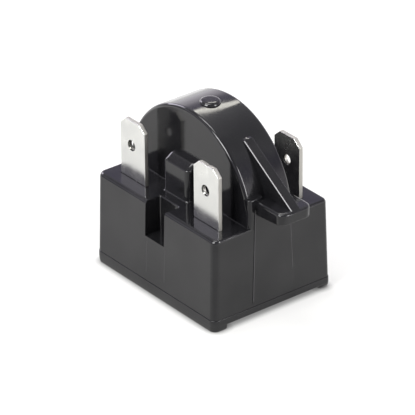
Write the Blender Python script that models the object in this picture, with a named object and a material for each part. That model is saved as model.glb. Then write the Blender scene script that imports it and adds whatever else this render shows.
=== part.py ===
"""Compressor start relay.

A moulded housing plugs onto two compressor pins. Its half-round dome covers a
thermistor disc that two spring plates hold on edge. Three flat tabs stand on the
ledge: two at the front from one stamped plate, and one at the rear from another.

X runs along the housing, Y from the front face to the back, Z up. The origin is on
the floor, at the middle of the whole outline.
"""

import math

import bmesh
import bpy
from mathutils import Matrix, Vector

MM = 0.001

# Clearance left between pieces that touch or seat
SEAT_GAP = 0.3 * MM

# Moulded box, measured at its ledge
BODY_LENGTH = 30.5 * MM
BODY_DEPTH = 23.0 * MM
LEDGE_HEIGHT = 16.2 * MM
FRONT_CORNER_RADIUS = 1.2 * MM
REAR_CORNER_RADIUS = 0.8 * MM
LEDGE_FILLET = 0.7 * MM
LEDGE_END_FILLET = 0.35 * MM
FACE_DRAFT = math.radians(1.7)
LEFT_END_DRAFT = math.radians(0.2)
RIGHT_END_DRAFT = math.radians(1.0)
BODY_WALL = 1.7 * MM
LEDGE_ROOF = 1.9 * MM
CAVITY_CORNER_RADIUS = 0.4 * MM

# Half-round dome, a hair wider than the box and set a little to the left
DOME_OVERHANG = 0.05 * MM
DOME_SHIFT = -0.2 * MM
DOME_THICKNESS = 9.0 * MM
DOME_AXIS_DROP = 0.35 * MM
DOME_EDGE_FILLET = 0.6 * MM
DOME_WALL = 1.6 * MM
BUTTON_DIAMETER = 3.5 * MM
BUTTON_RISE = 0.45 * MM
BUTTON_SINK = 0.05 * MM

# Square shoulder between the dome's front face and the ear, flush with the end face
SHOULDER_RISE = 4.9 * MM
SHOULDER_WIDTH = 3.0 * MM
SHOULDER_STEP_BACK = 0.06 * MM

# Block on the dome's front face, between the front tabs
BLOCK_WIDTH = 6.2 * MM
BLOCK_REACH = 2.3 * MM
BLOCK_RISE = 6.6 * MM
BLOCK_CHAMFER_BACK = 1.4 * MM
BLOCK_CHAMFER_DOWN = 1.0 * MM
BLOCK_CORNER_RADIUS = 0.7 * MM
BLOCK_OFFSET = -0.6 * MM

# Notch in the middle of the front face, open at the ledge
NOTCH_WIDTH = 4.9 * MM
NOTCH_DEPTH = 2.95 * MM
NOTCH_HEIGHT = 6.2 * MM

# Ear on the right end, with the gusset rib above it and the pad below it
EAR_REACH = 6.2 * MM
EAR_WIDTH = 6.4 * MM
EAR_OFFSET = 0.15 * MM
EAR_TOP_RISE = 4.4 * MM
EAR_ROOT_THICKNESS = 2.5 * MM
EAR_TIP_THICKNESS = 1.9 * MM
EAR_TOP_ROUND = 0.5 * MM
EAR_CORNER_RADIUS = 1.5 * MM
EAR_ROOT_DEPTH = 1.2 * MM
RIB_THICKNESS = 1.8 * MM
RIB_SLOPE = math.radians(33.0)
RIB_SETBACK = 0.3 * MM
RIB_LENGTH = 11.9 * MM
RIB_TOE_SINK = 0.15 * MM
PAD_TOP_WIDTH = 7.1 * MM
PAD_FOOT_WIDTH = 8.5 * MM
PAD_RAISE = 0.12 * MM
PAD_FOOT_RISE = 0.3 * MM

# Bottom cover, with a rail along each long side
COVER_THICKNESS = 1.3 * MM
COVER_OVERHANG = 0.06 * MM
COVER_EDGE_ROUND = 0.3 * MM
COVER_SEAM = 0.3 * MM
FRONT_RAIL_WIDTH = 3.2 * MM
REAR_RAIL_WIDTH = 2.0 * MM
RAIL_HEIGHT = 0.75 * MM
RAIL_STEP_BACK = 0.02 * MM
RIM_HEIGHT = 1.8 * MM
RIM_THICKNESS = 1.2 * MM
RIM_CORNER_RADIUS = 0.27 * MM
COLLAR_WALL = 0.9 * MM
COLLAR_HEIGHT = 0.6 * MM
POST_WIDTH = 5.0 * MM
POST_THICKNESS = 2.2 * MM
POST_HEIGHT = 6.3 * MM

# Compressor pins that the sockets take
PIN_SPACING = 16.0 * MM
PIN_DIAMETER = 3.2 * MM
PIN_HOLE_CLEARANCE = 0.7 * MM
PIN_HOLE_LEAD_IN = 0.6 * MM

# Thermistor disc, on edge between the post and the crown of the dome's hollow
DISC_HEADROOM = 0.9 * MM
DISC_THICKNESS = 2.6 * MM
DISC_EDGE_BEVEL = 0.3 * MM

# Flat tabs of the standard 6.3 x 0.8 size, and the plates that carry them
TAB_WIDTH = 6.3 * MM
TAB_THICKNESS = 0.8 * MM
TAB_RISE = 10.5 * MM
TAB_CHAMFER_ACROSS = 1.35 * MM
TAB_CHAMFER_DOWN = 1.2 * MM
TAB_HOLE_DIAMETER = 1.95 * MM
TAB_HOLE_RISE = 5.9 * MM
TAB_EDGE_BEVEL = 0.16 * MM
TAB_END_SETBACK = 2.65 * MM
FRONT_TAB_SETBACK = 2.9 * MM
REAR_TAB_SETBACK = 2.7 * MM
REAR_TAB_DROP = 0.3 * MM
REAR_TAB_SHIFT = 0.25 * MM
SHOULDER_STEP = 0.6 * MM
BAR_HEIGHT = 4.0 * MM
START_BAR_PAST_CENTRE = 3.4 * MM
TONGUE_WIDTH = 5.0 * MM
TONGUE_THICKNESS = 0.8 * MM

# Sprung sockets for the pins, and the steel bands that back them up
SOCKET_BORE = 3.1 * MM
SOCKET_WALL = 0.5 * MM
SOCKET_HEIGHT = 6.2 * MM
SOCKET_SLIT = math.radians(36.0)
SOCKET_FLARE = 0.3 * MM
SOCKET_FLARE_HEIGHT = 0.8 * MM
LUG_WIDTH = 4.0 * MM
LUG_THICKNESS = 0.5 * MM
LUG_RADIUS = 0.8 * MM
BAND_THICKNESS = 0.4 * MM
BAND_HEIGHT = 2.2 * MM
BAND_OPENING = math.radians(70.0)
RIVET_DIAMETER = 1.3 * MM
RIVET_HEAD_DIAMETER = 2.6 * MM
RIVET_HEAD_TOP_DIAMETER = 1.56 * MM
RIVET_HEAD_HEIGHT = 0.5 * MM
LUG_PLATE_CLEARANCE = 0.8 * MM
TONGUE_SOCKET_CLEARANCE = 0.45 * MM

# Spring plates either side of the disc
SPRING_THICKNESS = 0.35 * MM
SPRING_WIDTH = 10.0 * MM
SPRING_FOOT_WIDTH = 6.0 * MM
SPRING_FOOT_UPTURN = 1.3 * MM
SPRING_WAVES = 3
SPRING_FINGERS = 3
SPRING_SLIT = 0.8 * MM
SPRING_BEND_RADIUS = 0.8 * MM

# Faceting
ROUND_STEPS = 4
CORNER_STEPS = 5
DOME_STEPS = 56
HOLE_SIDES = 28
SOCKET_STEPS = 22

# Colours seen in the photo, linear, with metallic and roughness
BLACK_PLASTIC = ((0.016, 0.016, 0.018), 0.0, 0.22)
TINNED_BRASS = ((0.72, 0.70, 0.66), 1.0, 0.28)
SPRING_STEEL = ((0.56, 0.57, 0.58), 1.0, 0.25)
BARE_BRASS = ((0.66, 0.47, 0.20), 1.0, 0.30)
CERAMIC = ((0.42, 0.42, 0.40), 0.3, 0.55)

# Heights and half widths that several pieces share
DOME_RADIUS = BODY_LENGTH / 2 + DOME_OVERHANG
DOME_AXIS_HEIGHT = LEDGE_HEIGHT - DOME_AXIS_DROP
DOME_BORE = DOME_RADIUS - DOME_WALL
COVER_TOP = RAIL_HEIGHT + COVER_THICKNESS
BODY_FLOOR = COVER_TOP + COVER_SEAM
CAVITY_TOP = LEDGE_HEIGHT - LEDGE_ROOF
CAVITY_HALF_LENGTH = BODY_LENGTH / 2 - BODY_WALL
CAVITY_HALF_DEPTH = BODY_DEPTH / 2 - BODY_WALL
CAVITY_HALF_DOME = DOME_THICKNESS / 2 - DOME_WALL
NOTCH_WALL_FLOOR = LEDGE_HEIGHT - NOTCH_HEIGHT - BODY_WALL
PLATE_FOOT = COVER_TOP + RIM_HEIGHT + SEAT_GAP
BAR_TOP = min(PLATE_FOOT + BAR_HEIGHT, NOTCH_WALL_FLOOR - SEAT_GAP)
LEG_HALF_WIDTH = TAB_WIDTH / 2 + SHOULDER_STEP
LUG_FLOOR = PLATE_FOOT + TONGUE_THICKNESS + SEAT_GAP
SOCKET_FLOOR = COVER_TOP + COLLAR_HEIGHT + SEAT_GAP
SOCKET_OUTER_RADIUS = SOCKET_BORE / 2 + SOCKET_WALL
DISC_TOP = DOME_AXIS_HEIGHT + DOME_BORE - DISC_HEADROOM
DISC_BOTTOM = COVER_TOP + POST_HEIGHT + SEAT_GAP
DISC_DIAMETER = DISC_TOP - DISC_BOTTOM
DISC_AXIS_HEIGHT = (DISC_TOP + DISC_BOTTOM) / 2
TAB_PITCH = BODY_LENGTH - 2 * TAB_END_SETBACK - TAB_WIDTH
COVER_LEFT_REACH = BODY_LENGTH / 2 + COVER_OVERHANG + LEDGE_HEIGHT * math.tan(LEFT_END_DRAFT)
RIGHT_REACH = BODY_LENGTH / 2 + EAR_REACH
LEFT_REACH = max(DOME_RADIUS - DOME_SHIFT, COVER_LEFT_REACH)
BODY_CENTRE_X = (LEFT_REACH - RIGHT_REACH) / 2


def clear_scene():
    for old in list(bpy.data.objects):
        bpy.data.objects.remove(old, do_unlink=True)


def make_material(name, look):
    """One Principled material from a colour, a metallic value and a roughness."""
    colour, metallic, roughness = look
    material = bpy.data.materials.new(name)
    material.use_nodes = True
    shader = material.node_tree.nodes["Principled BSDF"]
    shader.inputs["Base Color"].default_value = (*colour, 1.0)
    shader.inputs["Metallic"].default_value = metallic
    shader.inputs["Roughness"].default_value = roughness
    return material


def add_object(name, bm, parent, look=None):
    """Turn a bmesh into an object under the body's centre. A piece has a look, a cutter has none."""
    bmesh.ops.recalc_face_normals(bm, faces=bm.faces)
    mesh = bpy.data.meshes.new(name)
    bm.to_mesh(mesh)
    bm.free()
    item = bpy.data.objects.new(name, mesh)
    bpy.context.collection.objects.link(item)
    item.parent = parent
    if look is None:
        item.hide_render = True
        item.display_type = "WIRE"
    else:
        mesh.materials.append(make_material(name, look))
        mesh.shade_smooth()
        mesh.set_sharp_from_angle(angle=math.radians(35))
    return item


def combine(target, tool, operation):
    modifier = target.modifiers.new(tool.name, "BOOLEAN")
    modifier.object = tool
    modifier.operation = operation
    modifier.solver = "EXACT"


def loft(rings):
    """Closed solid through rings of equal length, with both ends capped."""
    bm = bmesh.new()
    loops = [[bm.verts.new(point) for point in ring] for ring in rings]
    count = len(loops[0])
    for low, high in zip(loops, loops[1:]):
        for i in range(count):
            j = (i + 1) % count
            bm.faces.new((low[i], low[j], high[j], high[i]))
    bm.faces.new(reversed(loops[0]))
    bm.faces.new(loops[-1])
    return bm


def rounded_levels(low, high, low_round, high_round):
    """Levels from low to high, each with the inset that rounds the edges at both ends."""
    turns = [math.pi / 2 * i / ROUND_STEPS for i in range(ROUND_STEPS + 1)]
    levels = [(low, 0.0)]
    if low_round > 0:
        levels = [(low + low_round * (1 - math.cos(t)), low_round * (1 - math.sin(t))) for t in turns]
    if high_round > 0:
        ends = [(high - high_round * (1 - math.cos(t)), high_round * (1 - math.sin(t))) for t in turns]
        return levels + ends[::-1]
    return levels + [(high, 0.0)]


def rounded_rectangle(half_x, half_y, rear_radius, front_radius=None):
    """Corner-rounded outline, anticlockwise, as (x, y) pairs. The front corners may have their own radius."""
    outline = []
    corners = ((1, 1, 0), (-1, 1, 90), (-1, -1, 180), (1, -1, 270))
    for sign_x, sign_y, start in corners:
        radius = rear_radius
        if sign_y < 0 and front_radius is not None:
            radius = front_radius
        for i in range(CORNER_STEPS + 1):
            turn = math.radians(start + 90 * i / CORNER_STEPS)
            x = sign_x * (half_x - radius) + radius * math.cos(turn)
            y = sign_y * (half_y - radius) + radius * math.sin(turn)
            outline.append((x, y))
    return outline


def box(low, high):
    low, high = Vector(low), Vector(high)
    bm = bmesh.new()
    centre = Matrix.Translation((low + high) / 2)
    bmesh.ops.create_cube(bm, size=1.0, matrix=centre @ Matrix.Diagonal((*(high - low), 1.0)))
    return bm


def turned(levels, sides, centre=(0.0, 0.0)):
    """Round solid about a vertical axis, from (height, radius) pairs."""
    rings = []
    for height, radius in levels:
        turns = [2 * math.pi * i / sides for i in range(sides)]
        rings.append([(centre[0] + radius * math.cos(t), centre[1] + radius * math.sin(t), height) for t in turns])
    return loft(rings)


def extruded(outline, low_y, high_y):
    """Flat (x, z) outline carried from low_y to high_y."""
    return loft([[(x, y, z) for x, z in outline] for y in (low_y, high_y)])


def arch_outline(radius, foot):
    """Half circle about the dome's axis on straight sides that go down to foot, as (x, z) pairs."""
    turns = [math.pi * i / DOME_STEPS for i in range(DOME_STEPS + 1)]
    arc = [(DOME_SHIFT + radius * math.cos(t), DOME_AXIS_HEIGHT + radius * math.sin(t)) for t in turns]
    return [(DOME_SHIFT + radius, foot)] + arc + [(DOME_SHIFT - radius, foot)]


def arch(radius, half_thickness, foot, edge_round):
    rings = []
    for y, inset in rounded_levels(-half_thickness, half_thickness, edge_round, edge_round):
        rings.append([(x, y, z) for x, z in arch_outline(radius - inset, foot)])
    return loft(rings)


def leaned(x, y, z):
    """A point of the outline at the ledge, carried down to z by the drafts of the walls."""
    fall = LEDGE_HEIGHT - z
    end_draft = RIGHT_END_DRAFT if x > 0 else LEFT_END_DRAFT
    out_x = math.copysign(fall * math.tan(end_draft), x)
    out_y = math.copysign(fall * math.tan(FACE_DRAFT), y)
    return (x + out_x, y + out_y, z)


def drafted_box(floor, roof, roof_round, overhang=0.0, floor_round=0.0):
    """The box's outer form, wider towards the floor by the drafts, with tighter fillets at its ends."""
    rings = []
    for z, rounding in rounded_levels(floor, roof, floor_round, roof_round):
        end_rounding = rounding * LEDGE_END_FILLET / LEDGE_FILLET
        outline = rounded_rectangle(BODY_LENGTH / 2 + overhang - end_rounding, BODY_DEPTH / 2 + overhang - rounding,
                                    REAR_CORNER_RADIUS - rounding, FRONT_CORNER_RADIUS - rounding)
        rings.append([leaned(x, y, z) for x, y in outline])
    return loft(rings)


def dome_button():
    """Low domed nub on the crown of the dome."""
    radius = BUTTON_DIAMETER / 2
    seat = DOME_AXIS_HEIGHT + DOME_RADIUS - BUTTON_SINK
    rise = BUTTON_RISE + BUTTON_SINK
    levels = [(seat - DOME_WALL / 2, radius)]
    for i in range(ROUND_STEPS + 1):
        turn = math.pi / 2 * i / (ROUND_STEPS + 1)
        levels.append((seat + rise * math.sin(turn), radius * math.cos(turn)))
    return turned(levels, HOLE_SIDES, (DOME_SHIFT, 0.0))


def front_block():
    """Block with round corners and a chamfered top front edge, standing on the ledge against the dome."""
    front = -DOME_THICKNESS / 2 - BLOCK_REACH
    back = -DOME_THICKNESS / 2 + DOME_WALL / 2
    top = LEDGE_HEIGHT + BLOCK_RISE
    rings = []
    foot = LEDGE_HEIGHT - LEDGE_ROOF / 2
    for z, set_back in ((foot, 0.0), (top - BLOCK_CHAMFER_DOWN, 0.0), (top, BLOCK_CHAMFER_BACK)):
        half = (back - front - set_back) / 2
        outline = rounded_rectangle(BLOCK_WIDTH / 2, half, BLOCK_CORNER_RADIUS)
        rings.append([(BLOCK_OFFSET + x, back - half + y, z) for x, y in outline])
    return loft(rings)


def shoulder_block(foot):
    """Fills the corner between the dome's flank and the end face, in front of the ear."""
    front = -DOME_THICKNESS / 2 + SHOULDER_STEP_BACK
    back = EAR_OFFSET - EAR_WIDTH / 2 + EAR_CORNER_RADIUS
    outer = BODY_LENGTH / 2 - SHOULDER_STEP_BACK
    middle = (front + back) / 2
    half = (back - front) / 2
    rings = []
    for z, inset in rounded_levels(foot, LEDGE_HEIGHT + SHOULDER_RISE, 0.0, DOME_EDGE_FILLET / 2):
        outline = rounded_rectangle(SHOULDER_WIDTH / 2 - inset, half - inset, DOME_EDGE_FILLET - inset)
        rings.append([(outer - SHOULDER_WIDTH / 2 + x, middle + y, z) for x, y in outline])
    return loft(rings)


def ear_outline(inset):
    """Plan of the ear as (x, y) pairs, from its root round the two outer corners."""
    root = BODY_LENGTH / 2 - EAR_ROOT_DEPTH
    tip = BODY_LENGTH / 2 + EAR_REACH - inset
    half_width = EAR_WIDTH / 2 - inset
    radius = EAR_CORNER_RADIUS - inset
    outline = [(root, EAR_OFFSET - half_width)]
    for sign, start in ((-1, -90), (1, 0)):
        for i in range(CORNER_STEPS + 1):
            turn = math.radians(start + 90 * i / CORNER_STEPS)
            x = tip - radius + radius * math.cos(turn)
            y = sign * (half_width - radius) + radius * math.sin(turn)
            outline.append((x, EAR_OFFSET + y))
    outline.append((root, EAR_OFFSET + half_width))
    return outline


def ear():
    """Flat lug on the right end, its underside one slope up to the tip, its top edge rounded."""
    root = BODY_LENGTH / 2 - EAR_ROOT_DEPTH
    taper = (EAR_ROOT_THICKNESS - EAR_TIP_THICKNESS) / (EAR_ROOT_DEPTH + EAR_REACH)
    top = LEDGE_HEIGHT + EAR_TOP_RISE
    rings = []
    for rise, inset in rounded_levels(-EAR_ROOT_THICKNESS, 0.0, 0.0, EAR_TOP_ROUND):
        share = -rise / EAR_ROOT_THICKNESS
        ring = []
        for x, y in ear_outline(inset):
            lift = taper * (x - root) * share
            ring.append((x, y, top + rise + lift))
        rings.append(ring)
    return loft(rings)


def gusset_rib():
    """Sloping rib from the dome's flank down to the ear's outer edge, its toe sunk in the ear."""
    tip_x = BODY_LENGTH / 2 + EAR_REACH - RIB_SETBACK
    tip_z = LEDGE_HEIGHT + EAR_TOP_RISE
    inner_x = tip_x - RIB_LENGTH
    crest_z = tip_z + RIB_LENGTH * math.tan(RIB_SLOPE)
    toe_x = tip_x + RIB_TOE_SINK / math.tan(RIB_SLOPE)
    toe_z = tip_z - RIB_TOE_SINK
    foot_z = tip_z - EAR_ROOT_THICKNESS / 2
    buried_x = inner_x - DOME_WALL
    outline = [(buried_x, foot_z), (toe_x, foot_z), (toe_x, toe_z), (inner_x, crest_z), (buried_x, crest_z)]
    return extruded(outline, EAR_OFFSET - RIB_THICKNESS / 2, EAR_OFFSET + RIB_THICKNESS / 2)


def end_pad():
    """Shallow raised field on the right end face, from the ear down to just above the seam."""
    inner = BODY_LENGTH / 2 - BODY_WALL / 2
    foot = BODY_FLOOR + PAD_FOOT_RISE
    head = LEDGE_HEIGHT + EAR_TOP_RISE - EAR_ROOT_THICKNESS / 2
    rings = []
    for z, width in ((foot, PAD_FOOT_WIDTH), (head, PAD_TOP_WIDTH)):
        outer = BODY_LENGTH / 2 + (LEDGE_HEIGHT - z) * math.tan(RIGHT_END_DRAFT) + PAD_RAISE
        low, high = EAR_OFFSET - width / 2, EAR_OFFSET + width / 2
        rings.append([(inner, low, z), (outer, low, z), (outer, high, z), (inner, high, z)])
    return loft(rings)


def notch_box(wall):
    """The front notch, grown by a wall on its sides, back and floor."""
    front = -BODY_DEPTH
    back = -BODY_DEPTH / 2 + NOTCH_DEPTH + wall
    floor = LEDGE_HEIGHT - NOTCH_HEIGHT - wall
    half = NOTCH_WIDTH / 2 + wall
    return box((-half, front, floor), (half, back, LEDGE_HEIGHT + BODY_WALL))


def tab_slot(centre_x, centre_y):
    half_x = TAB_WIDTH / 2 + SEAT_GAP
    half_y = TAB_THICKNESS / 2 + SEAT_GAP
    low = (centre_x - half_x, centre_y - half_y, CAVITY_TOP - BODY_WALL)
    high = (centre_x + half_x, centre_y + half_y, LEDGE_HEIGHT + BODY_WALL)
    return box(low, high)


def body_cavity(parent):
    """The hollow inside the box, open at the floor, going round the notch's wall."""
    outline = rounded_rectangle(CAVITY_HALF_LENGTH, CAVITY_HALF_DEPTH, CAVITY_CORNER_RADIUS)
    rings = [[(x, y, z) for x, y in outline] for z in (BODY_FLOOR - BODY_WALL, CAVITY_TOP)]
    cavity = add_object("cutter_body_cavity", loft(rings), parent)
    wall = add_object("cutter_notch_wall", notch_box(BODY_WALL), parent)
    combine(cavity, wall, "DIFFERENCE")
    return cavity


def build_housing(parent):
    """One moulding: box, dome, block, shoulder, ear, rib and pad, hollow and open at the floor."""
    housing = add_object("housing", drafted_box(BODY_FLOOR, LEDGE_HEIGHT, LEDGE_FILLET), parent, BLACK_PLASTIC)
    foot = CAVITY_TOP + LEDGE_ROOF / 3
    dome = arch(DOME_RADIUS, DOME_THICKNESS / 2, foot, DOME_EDGE_FILLET)
    grown = {
        "join_dome": dome,
        "join_button": dome_button(),
        "join_block": front_block(),
        "join_shoulder": shoulder_block(foot),
        "join_ear": ear(),
        "join_rib": gusset_rib(),
        "join_pad": end_pad(),
    }
    for name, bm in grown.items():
        combine(housing, add_object(name, bm, parent), "UNION")
    combine(housing, body_cavity(parent), "DIFFERENCE")
    dome_hollow = arch(DOME_BORE, CAVITY_HALF_DOME, CAVITY_TOP - BODY_WALL, 0.0)
    combine(housing, add_object("cutter_dome_hollow", dome_hollow, parent), "DIFFERENCE")
    combine(housing, add_object("cutter_notch", notch_box(0.0), parent), "DIFFERENCE")
    for i, (x, y) in enumerate(tab_places()):
        combine(housing, add_object(f"cutter_slot_{i}", tab_slot(x, y), parent), "DIFFERENCE")


def front_plate_y():
    return -BODY_DEPTH / 2 + FRONT_TAB_SETBACK + TAB_THICKNESS / 2


def rear_plate_y():
    return BODY_DEPTH / 2 - REAR_TAB_SETBACK - TAB_THICKNESS / 2


def tab_places():
    """Centre of each tab in plan."""
    half = TAB_PITCH / 2
    return [(-half, front_plate_y()), (half, front_plate_y()), (half - REAR_TAB_SHIFT, rear_plate_y())]


def cover_rails(parent):
    """The two rails under the cover, along its long sides, with round corners."""
    rails = []
    top = RAIL_HEIGHT + COVER_THICKNESS / 2
    growth = COVER_OVERHANG - RAIL_STEP_BACK
    for name, side, width in (("join_front_rail", -1, FRONT_RAIL_WIDTH), ("join_rear_rail", 1, REAR_RAIL_WIDTH)):
        front_radius = FRONT_CORNER_RADIUS if side < 0 else REAR_CORNER_RADIUS
        outline = rounded_rectangle(BODY_LENGTH / 2 + growth, width / 2, REAR_CORNER_RADIUS, front_radius)
        shift = side * (BODY_DEPTH / 2 + growth - width / 2)
        rings = [[leaned(x, y + shift, z) for x, y in outline] for z in (0.0, top)]
        rails.append(add_object(name, loft(rings), parent))
    return rails


def cover_rim(parent):
    """Upright rim of the cover, which locates it inside the housing."""
    outline = rounded_rectangle(CAVITY_HALF_LENGTH - SEAT_GAP, CAVITY_HALF_DEPTH - SEAT_GAP, RIM_CORNER_RADIUS)
    rings = [[(x, y, z) for x, y in outline] for z in (COVER_TOP - COVER_THICKNESS / 2, COVER_TOP + RIM_HEIGHT)]
    rim = add_object("join_rim", loft(rings), parent)
    half_x = CAVITY_HALF_LENGTH - SEAT_GAP - RIM_THICKNESS
    half_y = CAVITY_HALF_DEPTH - SEAT_GAP - RIM_THICKNESS
    inside = box((-half_x, -half_y, 0.0), (half_x, half_y, LEDGE_HEIGHT))
    combine(rim, add_object("cutter_rim_inside", inside, parent), "DIFFERENCE")
    return rim


def pin_hole(centre_x):
    """Through hole for a pin, with a lead-in at the bottom."""
    radius = (PIN_DIAMETER + PIN_HOLE_CLEARANCE) / 2
    wide = radius + PIN_HOLE_LEAD_IN
    levels = [(0.0, wide), (RAIL_HEIGHT, wide), (RAIL_HEIGHT + PIN_HOLE_LEAD_IN, radius), (LEDGE_HEIGHT, radius)]
    return turned(levels, HOLE_SIDES, (centre_x, 0.0))


def build_cover(parent):
    """Bottom cover: plate, rails, locating rim, pin collars and the post under the disc."""
    plate = drafted_box(RAIL_HEIGHT, COVER_TOP, 0.0, COVER_OVERHANG, COVER_EDGE_ROUND)
    cover = add_object("bottom_cover", plate, parent, BLACK_PLASTIC)
    for rail in cover_rails(parent):
        combine(cover, rail, "UNION")
    combine(cover, cover_rim(parent), "UNION")
    low = (-POST_WIDTH / 2, -POST_THICKNESS / 2, COVER_TOP - COVER_THICKNESS / 2)
    post = box(low, (POST_WIDTH / 2, POST_THICKNESS / 2, COVER_TOP + POST_HEIGHT))
    combine(cover, add_object("join_post", post, parent), "UNION")
    collar_radius = (PIN_DIAMETER + PIN_HOLE_CLEARANCE) / 2 + COLLAR_WALL
    for side in (-1, 1):
        x = side * PIN_SPACING / 2
        levels = [(COVER_TOP - COVER_THICKNESS / 2, collar_radius), (COVER_TOP + COLLAR_HEIGHT, collar_radius)]
        collar = add_object(f"join_collar_{side}", turned(levels, HOLE_SIDES, (x, 0.0)), parent)
        combine(cover, collar, "UNION")
        combine(cover, add_object(f"cutter_pin_hole_{side}", pin_hole(x), parent), "DIFFERENCE")


def build_disc(parent):
    """Thermistor disc, turned about Z and stood on edge along Y."""
    half = DISC_THICKNESS / 2
    radius = DISC_DIAMETER / 2
    face_radius = radius - DISC_EDGE_BEVEL
    edge = half - DISC_EDGE_BEVEL
    levels = [(-half, face_radius), (-edge, radius), (edge, radius), (half, face_radius)]
    disc = add_object("thermistor_disc", turned(levels, 2 * HOLE_SIDES), parent, CERAMIC)
    disc.location = (0.0, 0.0, DISC_AXIS_HEIGHT)
    disc.rotation_euler = (math.pi / 2, 0.0, 0.0)


def plate_outline(centres, low_x, high_x, tip):
    """Stamped plate in (x, z): a bar, with a shouldered leg and a chamfered tab at each centre."""
    shoulder = CAVITY_TOP - SEAT_GAP
    half = TAB_WIDTH / 2
    path = [(low_x, PLATE_FOOT), (high_x, PLATE_FOOT)]
    for x in sorted(centres, reverse=True):
        path += [(x + LEG_HALF_WIDTH, BAR_TOP), (x + LEG_HALF_WIDTH, shoulder), (x + half, shoulder)]
        path += [(x + half, tip - TAB_CHAMFER_DOWN), (x + half - TAB_CHAMFER_ACROSS, tip)]
        path += [(x - half + TAB_CHAMFER_ACROSS, tip), (x - half, tip - TAB_CHAMFER_DOWN)]
        path += [(x - half, shoulder), (x - LEG_HALF_WIDTH, shoulder), (x - LEG_HALF_WIDTH, BAR_TOP)]
    path.append((low_x, BAR_TOP))
    outline = []
    for i, point in enumerate(path):
        before, after = path[i - 1], path[(i + 1) % len(path)]
        level = (point[0] - before[0]) * (after[1] - point[1])
        climb = (point[1] - before[1]) * (after[0] - point[0])
        if abs(level - climb) > 1e-10:
            outline.append(point)
    return outline


def build_terminal(name, parent, places, low_x, high_x, socket_x, drop=0.0):
    """Plate with tabs, its tongue towards the socket and its holes."""
    centres = [x for x, _ in places]
    plate_y = places[0][1]
    outline = plate_outline(centres, low_x, high_x, LEDGE_HEIGHT + TAB_RISE - drop)
    half = TAB_THICKNESS / 2
    plate = add_object(name, extruded(outline, plate_y - half, plate_y + half), parent, TINNED_BRASS)
    bevel = plate.modifiers.new("edge bevel", "BEVEL")
    bevel.width = TAB_EDGE_BEVEL
    bevel.segments = 2
    bevel.limit_method = "ANGLE"
    bevel.angle_limit = math.radians(60)
    outward = math.copysign(1.0, plate_y)
    ends = (plate_y, outward * (SOCKET_OUTER_RADIUS + TONGUE_SOCKET_CLEARANCE))
    low = (socket_x - TONGUE_WIDTH / 2, min(ends), PLATE_FOOT)
    high = (socket_x + TONGUE_WIDTH / 2, max(ends), PLATE_FOOT + TONGUE_THICKNESS)
    combine(plate, add_object(f"join_{name}_tongue", box(low, high), parent), "UNION")
    for i, x in enumerate(centres):
        hole = add_object(f"cutter_{name}_tab_hole_{i}", tab_hole(), parent)
        hole.location = (x, plate_y, LEDGE_HEIGHT + TAB_HOLE_RISE - drop)
        hole.rotation_euler = (math.pi / 2, 0.0, 0.0)
        combine(plate, hole, "DIFFERENCE")
    rivet_hole = turned([(0.0, RIVET_DIAMETER / 2 + SEAT_GAP), (CAVITY_TOP, RIVET_DIAMETER / 2 + SEAT_GAP)],
                        HOLE_SIDES, (socket_x, rivet_place(plate_y)))
    combine(plate, add_object(f"cutter_{name}_rivet_hole", rivet_hole, parent), "DIFFERENCE")


def tab_hole():
    """Cutter for a tab's detent hole, with a countersink on both faces."""
    radius = TAB_HOLE_DIAMETER / 2
    half = TAB_THICKNESS / 2
    sink = TAB_EDGE_BEVEL
    levels = [(-half - sink, radius + 2 * sink), (-half + sink, radius)]
    levels += [(half - sink, radius), (half + sink, radius + 2 * sink)]
    return turned(levels, HOLE_SIDES)


def sleeve_ring(inner, outer, opening, facing):
    """Outline of an open round sleeve: outer arc out, inner arc back."""
    start = facing + opening / 2
    sweep = 2 * math.pi - opening
    turns = [start + sweep * i / SOCKET_STEPS for i in range(SOCKET_STEPS + 1)]
    out = [(outer * math.cos(t), outer * math.sin(t)) for t in turns]
    back = [(inner * math.cos(t), inner * math.sin(t)) for t in reversed(turns)]
    return out + back


def rivet_place(plate_y):
    """Y of the rivet, halfway between the socket's sleeve and the plate."""
    inner_face = abs(plate_y) - TAB_THICKNESS / 2
    return math.copysign((SOCKET_OUTER_RADIUS + inner_face) / 2, plate_y)


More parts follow.
